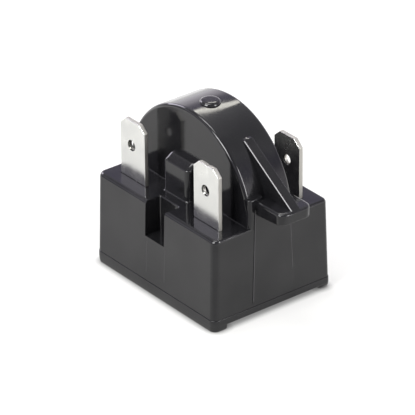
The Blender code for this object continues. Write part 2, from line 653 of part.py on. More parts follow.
def build_socket(side_name, parent, socket_x, plate_y):
    """Rolled sleeve with a flared mouth and a lug, its steel band and the rivet through the lug."""
    toward = math.copysign(1.0, plate_y)
    facing = -toward * math.pi / 2
    levels = [(SOCKET_FLOOR, SOCKET_FLARE), (SOCKET_FLOOR + SOCKET_FLARE_HEIGHT, 0.0)]
    levels.append((SOCKET_FLOOR + SOCKET_HEIGHT, 0.0))
    rings = []
    for z, flare in levels:
        ring = sleeve_ring(SOCKET_BORE / 2 + flare, SOCKET_OUTER_RADIUS + flare, SOCKET_SLIT, facing)
        rings.append([(socket_x + x, y, z) for x, y in ring])
    socket = add_object(f"{side_name}_pin_socket", loft(rings), parent, TINNED_BRASS)

    rivet_y = rivet_place(plate_y)
    near = toward * (SOCKET_BORE + SOCKET_WALL) / 2
    far = plate_y - toward * (TAB_THICKNESS / 2 + LUG_PLATE_CLEARANCE)
    middle = (near + far) / 2
    outline = rounded_rectangle(LUG_WIDTH / 2, abs(far - near) / 2, LUG_RADIUS / 2)
    lug = [[(socket_x + x, middle + y, z) for x, y in outline] for z in (LUG_FLOOR, LUG_FLOOR + LUG_THICKNESS)]
    combine(socket, add_object(f"join_{side_name}_lug", loft(lug), parent), "UNION")
    bore = turned([(0.0, SOCKET_BORE / 2), (LEDGE_HEIGHT, SOCKET_BORE / 2)], SOCKET_STEPS, (socket_x, 0.0))
    combine(socket, add_object(f"cutter_{side_name}_bore", bore, parent), "DIFFERENCE")
    hole_radius = RIVET_DIAMETER / 2 + SEAT_GAP
    hole = turned([(0.0, hole_radius), (LEDGE_HEIGHT, hole_radius)], HOLE_SIDES, (socket_x, rivet_y))
    combine(socket, add_object(f"cutter_{side_name}_lug_hole", hole, parent), "DIFFERENCE")

    band_floor = LUG_FLOOR + LUG_THICKNESS + SEAT_GAP
    band_inner = SOCKET_OUTER_RADIUS + SEAT_GAP
    ring = sleeve_ring(band_inner, band_inner + BAND_THICKNESS, BAND_OPENING, facing)
    rings = [[(socket_x + x, y, z) for x, y in ring] for z in (band_floor, band_floor + BAND_HEIGHT)]
    add_object(f"{side_name}_socket_band", loft(rings), parent, SPRING_STEEL)

    low = PLATE_FOOT - SEAT_GAP
    high = LUG_FLOOR + LUG_THICKNESS + SEAT_GAP
    head = RIVET_HEAD_DIAMETER / 2
    crown = RIVET_HEAD_TOP_DIAMETER / 2
    shank = RIVET_DIAMETER / 2
    levels = [(low - RIVET_HEAD_HEIGHT, crown), (low - RIVET_HEAD_HEIGHT / 2, head), (low, head)]
    levels += [(low, shank), (high, shank), (high, head)]
    levels += [(high + RIVET_HEAD_HEIGHT / 2, head), (high + RIVET_HEAD_HEIGHT, crown)]
    rivet = turned(levels, HOLE_SIDES, (socket_x, rivet_y))
    add_object(f"{side_name}_rivet", rivet, parent, BARE_BRASS)


def eased_bends(points, radius, steps):
    """Path with each inner corner replaced by a short arc-like run."""
    path = [points[0]]
    for before, corner, after in zip(points, points[1:], points[2:]):
        back = before - corner
        ahead = after - corner
        reach = min(radius, back.length / 2.2, ahead.length / 2.2)
        start = corner + back.normalized() * reach
        end = corner + ahead.normalized() * reach
        for i in range(steps + 1):
            t = i / steps
            path.append(start * (1 - t) ** 2 + corner * 2 * t * (1 - t) + end * t ** 2)
    path.append(points[-1])
    return path


def strip_outline(path, thickness):
    """Closed outline of a thin bent strip about its centre path."""
    left, right = [], []
    for i, point in enumerate(path):
        before = path[max(i - 1, 0)]
        after = path[min(i + 1, len(path) - 1)]
        along = (after - before).normalized()
        normal = Vector((-along.y, along.x))
        spread = 1.0
        if 0 < i < len(path) - 1:
            first = (point - before).normalized()
            spread = 1.0 / max(normal.dot(Vector((-first.y, first.x))), 0.5)
        left.append(point + normal * thickness / 2 * spread)
        right.append(point - normal * thickness / 2 * spread)
    return left + right[::-1]


def build_contact_spring(name, parent, plate_y):
    """Wavy spring plate between the dome's wall and the disc, its foot against the terminal's bar."""
    outward = math.copysign(1.0, plate_y)
    half = SPRING_THICKNESS / 2
    outer = CAVITY_HALF_DOME - SEAT_GAP - half
    inner = DISC_THICKNESS / 2 + SEAT_GAP + half
    bar_face = abs(plate_y) - TAB_THICKNESS / 2 - SEAT_GAP - half
    foot_z = (PLATE_FOOT + BAR_TOP) / 2
    wave_low = DISC_AXIS_HEIGHT - DISC_DIAMETER / 2 + DISC_DIAMETER / 8
    wave_high = DISC_AXIS_HEIGHT + DISC_DIAMETER / 2 - DISC_DIAMETER / 8
    step = (wave_high - wave_low) / (2 * SPRING_WAVES)
    points = [Vector((bar_face, foot_z + SPRING_FOOT_UPTURN)), Vector((bar_face, foot_z)), Vector((outer, foot_z))]
    for i in range(2 * SPRING_WAVES + 1):
        points.append(Vector((inner if i % 2 else outer, wave_low + i * step)))
    path = eased_bends(points, SPRING_BEND_RADIUS, ROUND_STEPS)
    outline = strip_outline(path, SPRING_THICKNESS)
    ends = (-SPRING_WIDTH / 2, SPRING_WIDTH / 2)
    sheet = loft([[(x, outward * y, z) for y, z in outline] for x in ends])
    spring = add_object(name, sheet, parent, SPRING_STEEL)

    pitch = SPRING_WIDTH / SPRING_FINGERS
    for i in range(1, SPRING_FINGERS):
        x = -SPRING_WIDTH / 2 + i * pitch
        slit = box((x - SPRING_SLIT / 2, -DOME_THICKNESS, wave_low + step / 2),
                   (x + SPRING_SLIT / 2, DOME_THICKNESS, LEDGE_HEIGHT + DOME_RADIUS))
        combine(spring, add_object(f"cutter_{name}_slit_{i}", slit, parent), "DIFFERENCE")
    for side in (-1, 1):
        inside = side * SPRING_FOOT_WIDTH / 2
        outside = side * SPRING_WIDTH
        trim = box((min(inside, outside), -BODY_DEPTH, COVER_TOP),
                   (max(inside, outside), BODY_DEPTH, wave_low - step / 2))
        combine(spring, add_object(f"cutter_{name}_foot_{side}", trim, parent), "DIFFERENCE")


def main():
    clear_scene()
    centre = bpy.data.objects.new("relay_centre", None)
    centre.location = (BODY_CENTRE_X, 0.0, 0.0)
    bpy.context.collection.objects.link(centre)

    build_housing(centre)
    build_cover(centre)
    build_disc(centre)

    run_left, run_right, start = tab_places()
    run_x = -PIN_SPACING / 2
    start_x = PIN_SPACING / 2
    run_ends = (run_left[0] - LEG_HALF_WIDTH, run_right[0] + LEG_HALF_WIDTH)
    start_ends = (-START_BAR_PAST_CENTRE, start[0] + LEG_HALF_WIDTH)
    build_terminal("run_terminal", centre, (run_left, run_right), *run_ends, run_x)
    build_terminal("start_terminal", centre, (start,), *start_ends, start_x, REAR_TAB_DROP)
    build_socket("run", centre, run_x, front_plate_y())
    build_socket("start", centre, start_x, rear_plate_y())
    build_contact_spring("front_contact_spring", centre, front_plate_y())
    build_contact_spring("rear_contact_spring", centre, rear_plate_y())


main()
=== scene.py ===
"""Looks of the compressor start relay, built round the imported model."""
import math

import bmesh
import bpy
from mathutils import Matrix, Vector


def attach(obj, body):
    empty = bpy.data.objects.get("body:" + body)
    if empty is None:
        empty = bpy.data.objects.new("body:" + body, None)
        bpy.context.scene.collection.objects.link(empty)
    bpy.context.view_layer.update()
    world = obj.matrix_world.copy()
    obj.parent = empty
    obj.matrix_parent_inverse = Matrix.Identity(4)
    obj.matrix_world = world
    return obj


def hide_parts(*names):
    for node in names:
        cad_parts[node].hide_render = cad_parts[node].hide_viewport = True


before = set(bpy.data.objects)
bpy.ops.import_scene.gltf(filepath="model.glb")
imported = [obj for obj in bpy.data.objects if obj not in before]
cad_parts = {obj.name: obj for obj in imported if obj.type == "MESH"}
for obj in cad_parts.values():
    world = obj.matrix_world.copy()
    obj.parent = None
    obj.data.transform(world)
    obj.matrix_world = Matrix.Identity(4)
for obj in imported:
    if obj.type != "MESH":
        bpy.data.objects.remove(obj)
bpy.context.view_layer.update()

MM = 0.001

# Camera, fitted to the photo's corners and outlines
FRAME_PIXELS = 415
FOCAL_PIXELS = 3900.0
SENSOR = 36.0
AZIMUTH = math.radians(51.78)
ELEVATION = math.radians(28.9)
ROLL = math.radians(-0.43)
DISTANCE = 627.7 * MM
AIM_FROM_CENTRE = (-0.83, -0.17, -3.1)
AIM_SHIFT = (-0.02 * MM, -1.14 * MM)

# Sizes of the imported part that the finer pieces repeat, in mm
BODY_LENGTH = 30.5
BODY_DEPTH = 23.0
LEDGE = 16.2
CORNER_RADII = [1.2, 1.2, 0.8, 0.8]
LEDGE_FILLET = 0.7
DOME_FILLET = 0.6
DRAFT = math.tan(math.radians(1.0))
LEFT_DRAFT = math.tan(math.radians(0.2))
FACE_DRAFT = math.tan(math.radians(1.7))
DOME_RADIUS = BODY_LENGTH / 2 + 0.05
DOME_SHIFT = -0.2
DOME_THICKNESS = 9.0
DOME_AXIS = LEDGE - 0.35
DOME_WALL = 1.6
BODY_WALL = 1.7
LEDGE_ROOF = 1.9
CAVITY_TOP = LEDGE - LEDGE_ROOF
COVER_TOP = 2.05
RAIL_HEIGHT = 0.75
COVER_THICKNESS = 1.3
SEAT_GAP = 0.3
FINE_SEAM = 0.02
NOTCH_HALF = 2.45
NOTCH_DEPTH = 2.95
NOTCH_HEIGHT = 6.2
EAR_REACH = 6.2
EAR_OFFSET = 0.15
EAR_HALF = 3.2
EAR_TOP = LEDGE + 4.4
EAR_THICK = 2.5
EAR_THIN = 1.9
EAR_CORNER = 1.5
RIB_LENGTH = 11.9
RIB_HALF = 0.9
RIB_SLOPE = math.tan(math.radians(33.0))
TAB_X = 9.45
REAR_TAB_SHIFT = 0.25
TAB_RISE = 10.5
REAR_TAB_RISE = 10.2
FRONT_TAB_SETBACK = 2.9
REAR_TAB_SETBACK = 2.7
TAB_HALF = 3.15
TAB_HALF_THICK = 0.4
LEG_HALF = 3.75
PLATE_FOOT = COVER_TOP + 2.1
BAR_HEIGHT = 4.0
PLATE_TOP = min(PLATE_FOOT + BAR_HEIGHT, LEDGE - NOTCH_HEIGHT - BODY_WALL - SEAT_GAP)
TONGUE_THICKNESS = 0.8
START_BAR_LOW = -3.4
PIN_X = 8.0
SOCKET_RADIUS = 2.05
CENTRE_X = (DOME_RADIUS - DOME_SHIFT - BODY_LENGTH / 2 - EAR_REACH) / 2
REPLACED = ("housing", "bottom_cover", "run_terminal", "start_terminal")

# Light of the studio by height of the direction, behind the object and in front of it
SKY_BEHIND = [(0.0, (1.75, 1.72, 1.8)), (0.2, (1.6, 1.52, 1.66)), (0.3, (1.4, 1.32, 1.46)),
              (0.4, (0.68, 0.64, 0.78)), (0.5, (0.50, 0.47, 0.64)), (0.7, (0.85, 0.84, 0.88)),
              (0.83, (0.58, 0.57, 0.6)), (1.0, (0.62, 0.62, 0.64))]
SKY_AHEAD = [(0.0, (0.4, 0.4, 0.42)), (0.22, (0.5, 0.49, 0.54)), (0.36, (0.9, 0.87, 1.0)),
             (0.48, (1.35, 1.3, 1.5)), (0.57, (0.6, 0.58, 0.68)), (0.68, (0.26, 0.25, 0.28)),
             (1.0, (0.62, 0.62, 0.64))]
BACKDROP_SEEN = (1.05, 1.05, 1.05)
BLACK = (0.0, 0.0, 0.0)

# Floor. Mirrors show it brighter far off and a little darker off the near corner, by ranges in
# metres, and the camera sees it shaded within a distance in mm of whatever stands on it.
FLOOR_HALF = 3.0
MIRRORED_PAINT, MIRRORED_GLOW = 0.45, 0.22
SEEN_PAINT, SEEN_GLOW = 0.42, 0.5
BLUE_SHARE = 0.95
FAR_RANGE = (0.075, 0.15)
FAR_GLOW = 0.85
NEAR_CORNER_X = (0.011, 0.017)
NEAR_CORNER_Y = (-0.0155, -0.0125)
NEAR_CORNER_SHADE = 0.22
CONTACT_SHADE = 1.2
CONTACT_SAMPLES = 16

# Lamps round the crown: name, direction, distance, width and height in mm, brightness of the
# face, colour, and the direction that the width is laid along, if it isn't level
CROWN = Vector((CENTRE_X, 0.0, 31.0))
LAMPS = [
    ("crown strip", (-0.56, 0.541, 0.612), 100, 26, 6.8, 9.0, (1.0, 0.97, 0.88), (0.6, 0.52, 0.6)),
    ("edge softbox", (0.06, -0.79, 0.61), 600, 270, 230, 15.0, (1, 1, 1), None),
    ("left panel", (-0.908, -0.05, 0.42), 220, 96, 93, 6.0, (0.92, 0.88, 1.0), None),
    ("overhead softbox", (-0.25, -0.10, 0.96), 600, 210, 280, 7.5, (1, 1, 1), None),
    ("right strip", (0.87, 0.33, 0.40), 600, 190, 340, 12.0, (1, 1, 1), None),
]

# Lines painted lighter, as painted highlights along the pad's two edges on the end face and a
# painted sheen on two faint moulding lines of the front face under the notch: strength, then the
# direction across the line, the place along that direction, the half width and two corners of the
# box that holds it, in mm
PAINTED_HIGHLIGHT_LINES = [
    (0.16, ((0.0, 1.0, -0.0419), -4.09, 0.1, (10, -9, 3.0), (13, 9, 19.0))),
    (0.1, ((0.0, 1.0, 0.0419), 4.42, 0.14, (10, -9, 6.5), (13, 9, 19.0))),
    (0.08, ((1.0, 0.0, 0.0), CENTRE_X - 2.1, 0.09, (-30, -30, 3.6), (30, -11, 9.2))),
    (0.08, ((1.0, 0.0, 0.0), CENTRE_X + 2.6, 0.09, (-30, -30, 3.6), (30, -11, 9.2))),
]
PAINTED_HIGHLIGHT_COLOUR = (0.3, 0.29, 0.31)

# Holes in the tabs, in mm
HOLE_DROP = 4.6
HOLE_RADIUS = 0.74
RIM_RADIUS = 0.95

ROUND_STEPS = 6
CORNER_STEPS = 8
DOME_STEPS = 150


def rounded_profile(points, radii, steps=CORNER_STEPS):
    """Closed outline, anticlockwise, with each corner an arc. Gives (x, y, normal x, normal y) rows."""
    rows = []
    count = len(points)
    for i in range(count):
        here = Vector(points[i])
        back = (Vector(points[i - 1]) - here).normalized()
        ahead = (Vector(points[(i + 1) % count]) - here).normalized()
        radius = radii[i] if isinstance(radii, (list, tuple)) else radii
        into = Vector((-back.y, back.x))
        out = Vector((ahead.y, -ahead.x))
        cross = (-back).x * ahead.y - (-back).y * ahead.x
        if radius <= 0 or abs(cross) < 1e-6:
            middle = (into + out).normalized()
            scale = 1.0 / max(middle.dot(out), 0.3)
            rows.append((here.x, here.y, middle.x * scale, middle.y * scale))
            continue
        half = math.acos(max(-1.0, min(1.0, back.dot(ahead)))) / 2
        reach = radius / math.tan(half)
        centre = here + (back + ahead).normalized() * (radius / math.sin(half))
        start = here + back * reach
        end = here + ahead * reach
        turn_a = math.atan2(start.y - centre.y, start.x - centre.x)
        turn_b = math.atan2(end.y - centre.y, end.x - centre.x)
        if cross > 0 and turn_b < turn_a:
            turn_b += 2 * math.pi
        if cross < 0 and turn_b > turn_a:
            turn_b -= 2 * math.pi
        side = 1.0 if cross > 0 else -1.0
        for k in range(steps + 1):
            t = turn_a + (turn_b - turn_a) * k / steps
            away = Vector((math.cos(t), math.sin(t)))
            rows.append((*(centre + away * radius), *(away * side)))
    return rows


def levels(low, high, low_round, high_round, steps=ROUND_STEPS):
    """(position, inset) pairs from low to high with a quarter round at either end."""
    out = [(low, 0.0)]
    if low_round > 0:
        out = []
        for i in range(steps + 1):
            t = math.pi / 2 * i / steps
            out.append((low + low_round * (1 - math.cos(t)), low_round * (1 - math.sin(t))))
    if high_round <= 0:
        return out + [(high, 0.0)]
    for i in range(steps, -1, -1):
        t = math.pi / 2 * i / steps
        out.append((high - high_round * (1 - math.cos(t)), high_round * (1 - math.sin(t))))
    return out


def loft(rings):
    """Closed solid through rings of points in mm."""
    bm = bmesh.new()
    loops = [[bm.verts.new(Vector(point) * MM) for point in ring] for ring in rings]
    count = len(loops[0])
    for low, high in zip(loops, loops[1:]):
        for i in range(count):
            j = (i + 1) % count
            bm.faces.new((low[i], low[j], high[j], high[i]))
    bm.faces.new(reversed(loops[0]))
    bm.faces.new(loops[-1])
    bmesh.ops.recalc_face_normals(bm, faces=bm.faces)
    return bm


def prism(rows, steps, place):
    """Loft of an outline through (position, inset) steps; place makes (x, y, z) from them."""
    return loft([[place(x - nx * inset, y - ny * inset, at) for x, y, nx, ny in rows] for at, inset in steps])


def turned(path, x, y=0.0, sides=64):
    """Round solid about an upright axis from (height, radius) pairs."""
    turns = [2 * math.pi * k / sides for k in range(sides)]
    return loft([[(x + r * math.cos(t), y + r * math.sin(t), z) for t in turns] for z, r in path])


def along_y(x, z, y):
    return (x, y, z)


def along_z(x, y, z):
    return (x, y, z)


def scene_object(name, bm):
    mesh = bpy.data.meshes.new(name)
    bm.to_mesh(mesh)
    bm.free()
    item = bpy.data.objects.new(name, mesh)
    bpy.context.scene.collection.objects.link(item)
    return item


def solid(base, joins, cuts):
    """Union and difference of fine solids, applied to one mesh."""
    tools = [(scene_object("tool", bm), "UNION") for bm in joins]
    tools += [(scene_object("tool", bm), "DIFFERENCE") for bm in cuts]
    for tool, operation in tools:
        step = base.modifiers.new("step", "BOOLEAN")
        step.object = tool
        step.operation = operation
        step.solver = "EXACT"
    depsgraph = bpy.context.evaluated_depsgraph_get()
    mesh = bpy.data.meshes.new_from_object(base.evaluated_get(depsgraph))
    base.modifiers.clear()
    base.data = mesh
    for tool, _ in tools:
        bpy.data.objects.remove(tool, do_unlink=True)
    return base


def cut_away(name, bm, cuts):
    """A solid with others cut out of it, as a mesh that can be joined or cut out in its turn."""
    item = solid(scene_object(name, bm), [], cuts)
    made = bmesh.new()
    made.from_mesh(item.data)
    bpy.data.objects.remove(item, do_unlink=True)
    return made


def smooth(item, angle=32.0):
    """Smooth faces with sharp edges kept, and normals weighted by face area."""
    bm = bmesh.new()
    bm.from_mesh(item.data)
    bmesh.ops.remove_doubles(bm, verts=bm.verts, dist=1e-7)
    bmesh.ops.triangulate(bm, faces=[f for f in bm.faces if len(f.verts) > 4])
    bm.to_mesh(item.data)
    bm.free()
    item.data.shade_smooth()
    item.data.set_sharp_from_angle(angle=math.radians(angle))
    weigh = item.modifiers.new("weigh", "WEIGHTED_NORMAL")
    weigh.keep_sharp = True
    weigh.weight = 80


def shift_to_frame(item):
    """The sizes here are from the box's middle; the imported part's origin is under its outline's middle."""
    item.data.transform(Matrix.Translation((CENTRE_X * MM, 0.0, 0.0)))


def rectangle(half_x, half_y, x=0.0, y=0.0):
    """Corners of a rectangle, anticlockwise from the low ones."""
    return [(x - half_x, y - half_y), (x + half_x, y - half_y),
            (x + half_x, y + half_y), (x - half_x, y + half_y)]


# Shapes of the four finer pieces


def drafted(rows, steps, left_share=0.5, right_share=0.5):
    """Upright loft whose faces lean out towards the floor, with its own fillets at the two ends."""
    rings = []
    for z, inset in steps:
        fall = LEDGE - z
        rings.append([(x - nx * inset * (left_share if x < 0 else right_share)
                       + (fall * DRAFT if x > 0 else -fall * LEFT_DRAFT),
                       y - ny * inset * (0.5 if ny > 0 else 1.0) + math.copysign(fall * FACE_DRAFT, y), z)
                      for x, y, nx, ny in rows])
    return loft(rings)


def shell():
    """The drafted box with its rounded ledge edge."""
    rows = rounded_profile(rectangle(BODY_LENGTH / 2, BODY_DEPTH / 2), CORNER_RADII)
    return drafted(rows, levels(COVER_TOP + FINE_SEAM, LEDGE, 0.05, LEDGE_FILLET))


def arch(radius, half, foot, edge_round, steps=DOME_STEPS):
    """Half-round slab across the box, with upright sides down to its foot."""
    rows = [(DOME_SHIFT + radius, foot, 1.0, 0.0)]
    for i in range(steps + 1):
        t = math.pi * i / steps
        rows.append((DOME_SHIFT + radius * math.cos(t), DOME_AXIS + radius * math.sin(t),
                     math.cos(t), math.sin(t)))
    rows.append((DOME_SHIFT - radius, foot, -1.0, 0.0))
    return prism(rows, levels(-half, half, edge_round, edge_round), along_y)


def button():
    """Low nub on the crown."""
    radius, rise, sink = 1.75, 0.5, 0.05
    seat = DOME_AXIS + DOME_RADIUS - sink
    path = [(seat - 0.8, radius), (seat + 0.12, radius)]
    path += [(seat + 0.15, radius - 0.01), (seat + 0.33, radius - 0.14), (seat + 0.37, radius - 0.19)]
    path += [(seat + 0.46, radius - 0.36), (seat + 0.49, radius - 0.5), (seat + rise, radius - 0.9)]
    return turned(path, DOME_SHIFT, sides=48)


def block():
    """Block against the dome: round corners, a chamfered top front edge and a small fillet at its foot."""
    low_x, high_x = -3.7, 2.5
    front, back = -DOME_THICKNESS / 2 - 2.3, -DOME_THICKNESS / 2 + 0.8
    top, down, over, foot_round = LEDGE + 6.6, 1.0, 1.4, 0.3
    steps = [(LEDGE - 0.9, -foot_round, 0.0)]
    for i in range(5):
        t = math.pi / 2 * i / 4
        steps.append((LEDGE + foot_round * (1 - math.cos(t)), -foot_round * (1 - math.sin(t)), 0.0))
    steps += [(top - down - 0.2, 0.0, 0.0), (top - down - 0.08, 0.02, 0.02), (top - down, 0.03, 0.07)]
    steps += [(top - down + 0.08, 0.03, 0.17), (top - 0.2, 0.06, over - 0.25), (top - 0.07, 0.12, over)]
    steps += [(top, 0.28, over + 0.2)]
    rings = []
    for z, inset, set_back in steps:
        face = front + inset + set_back
        rows = rounded_profile([(low_x + inset, face), (high_x - inset, face),
                                (high_x - inset, back), (low_x + inset, back)], [0.6, 0.9, 0.0, 0.0])
        rings.append([(x, y, z) for x, y, _, _ in rows])
    return loft(rings)


def dome_foot():
    """Small hollow fillet where the dome's front face meets the ledge."""
    radius, face = 0.25, -DOME_THICKNESS / 2
    points = [(face + 0.5, LEDGE - 0.5), (face + 0.5, LEDGE + radius), (face, LEDGE + radius)]
    for i in range(1, 5):
        t = math.pi / 2 * i / 5
        points.append((face - radius * (1 - math.cos(t)), LEDGE + radius * (1 - math.sin(t))))
    points += [(face - radius, LEDGE), (face - radius, LEDGE - 0.5)]
    return loft([[(x, y, z) for y, z in points] for x in (-BODY_LENGTH / 2 + 0.4, BODY_LENGTH / 2 - 0.9)])


def shoulder():
    """Square shoulder between the dome's flank and the end face, in front of the ear."""
    half, step_back = 1.5, 0.06
    front = -DOME_THICKNESS / 2 + step_back
    back = EAR_OFFSET - EAR_HALF + EAR_CORNER
    outer = BODY_LENGTH / 2 - step_back
    corners = rectangle(half, (back - front) / 2, outer - half, (front + back) / 2)
    steps = levels(CAVITY_TOP + LEDGE_ROOF / 3, LEDGE + 4.9, 0.0, 0.2)
    return prism(rounded_profile(corners, DOME_FILLET), steps, along_z)


def ear():
    """Flat lug that thins towards its tip, with rounded edges."""
    root, tip = BODY_LENGTH / 2 - 1.2, BODY_LENGTH / 2 + EAR_REACH
    low, high = EAR_OFFSET - EAR_HALF, EAR_OFFSET + EAR_HALF
    rows = rounded_profile([(root, low), (tip, low), (tip, high), (root, high)],
                           [0.0, EAR_CORNER, EAR_CORNER, 0.0])
    rings = []
    for rise, inset in levels(-EAR_THICK, 0.0, 0.25, 0.5):
        ring = []
        for x, y, nx, ny in rows:
            px, py = x - nx * inset, y - ny * inset
            lift = (EAR_THICK - EAR_THIN) * (px - root) / (tip - root) * -rise / EAR_THICK
            ring.append((px, py, EAR_TOP + rise + lift))
        rings.append(ring)
    return loft(rings)


def rib():
    """Sloping gusset on the ear, its near edge softened by a bevel."""
    tip = BODY_LENGTH / 2 + EAR_REACH - 0.3
    inner = tip - RIB_LENGTH
    buried = inner - 1.6
    crest = EAR_TOP + RIB_LENGTH * RIB_SLOPE
    low = EAR_TOP - EAR_THICK / 2
    sunk = 0.15
    toe = tip + sunk / RIB_SLOPE
    points = [(buried, low), (toe, low), (toe, EAR_TOP - sunk), (inner, crest), (buried, crest)]
    rows = rounded_profile(points, [0.0, 0.0, 0.0, 0.3, 0.0])
    near = EAR_OFFSET - RIB_HALF
    bevel = [(near + at, inset)
             for at, inset in ((0.0, 0.22), (0.02, 0.18), (0.05, 0.14), (0.15, 0.04), (0.22, 0.0))]
    return prism(rows, bevel + levels(near + 0.5, EAR_OFFSET + RIB_HALF, 0.0, 0.2)[1:], along_y)


def pad():
    """Raised pad under the ear, wider at its foot."""
    inner, proud, foot_rise = BODY_LENGTH / 2 - 0.85, 0.12, 0.3
    rings = []
    for z, width in ((COVER_TOP + SEAT_GAP + foot_rise, 8.5), (EAR_TOP - EAR_THICK / 2, 7.1)):
        outer = BODY_LENGTH / 2 + (LEDGE - z) * DRAFT + proud
        low, high = EAR_OFFSET - width / 2, EAR_OFFSET + width / 2
        rows = rounded_profile([(inner, low), (outer, low), (outer, high), (inner, high)],
                               [0.0, 0.1, 0.1, 0.0], 4)
        rings.append([(x, y, z) for x, y, _, _ in rows])
    return loft(rings)


def notch(wall=0.0, flare=0.0):
    """The front notch, its mouth flared by a quarter round where it meets the ledge."""
    back, floor, above = -BODY_DEPTH / 2 + NOTCH_DEPTH + wall, LEDGE - NOTCH_HEIGHT - wall, LEDGE + 2.0
    corners = rectangle(NOTCH_HALF + wall, (back + BODY_DEPTH) / 2, 0.0, (back - BODY_DEPTH) / 2)
    if not flare:
        return prism(rounded_profile(corners, 0.0), [(floor, 0.0), (above, 0.0)], along_z)
    steps = [(floor, 0.0)]
    for i in range(ROUND_STEPS + 1):
        t = math.pi / 2 * i / ROUND_STEPS
        steps.append((LEDGE - flare + flare * math.sin(t), -flare * (1 - math.cos(t))))
    steps.append((above, -flare))
    return prism(rounded_profile(corners, [0.0, 0.0, 0.3, 0.3], 5), steps, along_z)


def tab_places():
    """(x, y) of each tab, the height of its tip, whether it is nicked, and how far its hole is off."""
    front = -BODY_DEPTH / 2 + FRONT_TAB_SETBACK + TAB_HALF_THICK
    rear = BODY_DEPTH / 2 - REAR_TAB_SETBACK - TAB_HALF_THICK
    return [(-TAB_X, front, LEDGE + TAB_RISE, False, (-0.28, 0.15)),
            (TAB_X, front, LEDGE + TAB_RISE, True, (-0.13, 0.0)),
            (TAB_X - REAR_TAB_SHIFT, rear, LEDGE + REAR_TAB_RISE, False, (0.0, 0.22))]


def slot(x, y, gap=0.05):
    """Cutter for a tab's way through the ledge, a little wider at the top."""
    flare = -0.07
    rows = rounded_profile(rectangle(TAB_HALF + gap, TAB_HALF_THICK + gap, x, y), 0.05, 3)
    steps = [(CAVITY_TOP - 1.7, 0.0), (LEDGE - 0.08, 0.0), (LEDGE, flare), (LEDGE + 1.7, flare)]
    return prism(rows, steps, along_z)


def cavity():
    """Hollow of the box, clear of the notch's walls."""
    rows = rounded_profile(rectangle(BODY_LENGTH / 2 - BODY_WALL, BODY_DEPTH / 2 - BODY_WALL), 0.4, 4)
    return cut_away("hollow", prism(rows, [(0.0, 0.0), (CAVITY_TOP, 0.0)], along_z), [notch(BODY_WALL)])


def ring_solid(half_x, half_y, wall, low, high):
    """Upright rectangular rim."""
    rim = prism(rounded_profile(rectangle(half_x, half_y), 0.27, 4), levels(low, high, 0.0, 0.15, 3), along_z)
    core = rounded_profile(rectangle(half_x - wall, half_y - wall), 0.2, 4)
    return cut_away("rim", rim, [prism(core, [(0.0, 0.0), (20.0, 0.0)], along_z)])


def rail(side, width):
    """Rail under the cover with round corners and a softened foot."""
    grown = 0.04
    low, high = BODY_DEPTH / 2 + grown - width, BODY_DEPTH / 2 + grown
    middle = side * (low + high) / 2
    outer = CORNER_RADII if side < 0 else 0.8
    rows = rounded_profile(rectangle(BODY_LENGTH / 2 + grown, width / 2, 0.0, middle), outer)
    steps = [(z, inset * 0.17) for z, inset in levels(0.0, RAIL_HEIGHT + 0.65, 1.05, 0.0, 6)]
    return drafted(rows, steps, 5.6, 1.2 if side < 0 else 5.6)


def make_cover():
    """Bottom cover: plate with its edge just proud of the wall, rails, rim, collars, post and pin holes."""
    proud, core = 0.06, COVER_TOP - COVER_THICKNESS / 2
    rows = rounded_profile(rectangle(BODY_LENGTH / 2 + proud, BODY_DEPTH / 2 + proud), CORNER_RADII)
    cover = scene_object("relay_cover", drafted(rows, levels(RAIL_HEIGHT, COVER_TOP, 0.4, 0.1), 0.5, 0.7))
    joins = [rail(-1, 3.2), rail(1, 2.0)]
    joins.append(ring_solid(BODY_LENGTH / 2 - BODY_WALL - SEAT_GAP, BODY_DEPTH / 2 - BODY_WALL - SEAT_GAP,
                            1.2, 1.4, COVER_TOP + 1.8))
    post = rounded_profile(rectangle(2.5, 1.1), 0.3, 4)
    joins.append(prism(post, levels(core, COVER_TOP + 6.3, 0.0, 0.2, 4), along_z))
    cuts = []
    for x in (-PIN_X, PIN_X):
        joins.append(turned([(core, 2.85), (COVER_TOP + 0.5, 2.85), (COVER_TOP + 0.6, 2.75)], x))
        cuts.append(turned([(0.0, 2.7), (0.7, 2.62), (0.8, 2.5), (1.3, 2.0), (1.45, 1.95), (9.0, 1.95)], x))
    return solid(cover, joins, cuts)


def make_housing():
    """Housing in one moulding: shell, dome and the rest joined, then its hollow, notch and slots cut."""
    foot = CAVITY_TOP + LEDGE_ROOF / 3
    body = scene_object("relay_housing", shell())
    dome = arch(DOME_RADIUS, DOME_THICKNESS / 2, foot, DOME_FILLET)
    joins = [dome, button(), block(), dome_foot(), shoulder(), ear(), rib(), pad()]
    inside = arch(DOME_RADIUS - DOME_WALL, DOME_THICKNESS / 2 - DOME_WALL, CAVITY_TOP - BODY_WALL, 0.0, 60)
    cuts = [cavity(), inside, notch(flare=0.25)] + [slot(x, y) for x, y, *_ in tab_places()]
    return solid(body, joins, cuts)


def chamfered_tab(tip, nick=False):
    """Outline of a tab in (x from its middle, z), up one side and down the other, with worn corners."""
    half, across, down = TAB_HALF, 1.35, 1.2
    points = [(half, tip - down), (half - across, tip)]
    if nick:
        points += [(0.5, tip), (0.32, tip - 0.12), (0.05, tip - 0.15), (-0.15, tip - 0.03)]
    return points + [(across - half, tip), (-half, tip - down)]


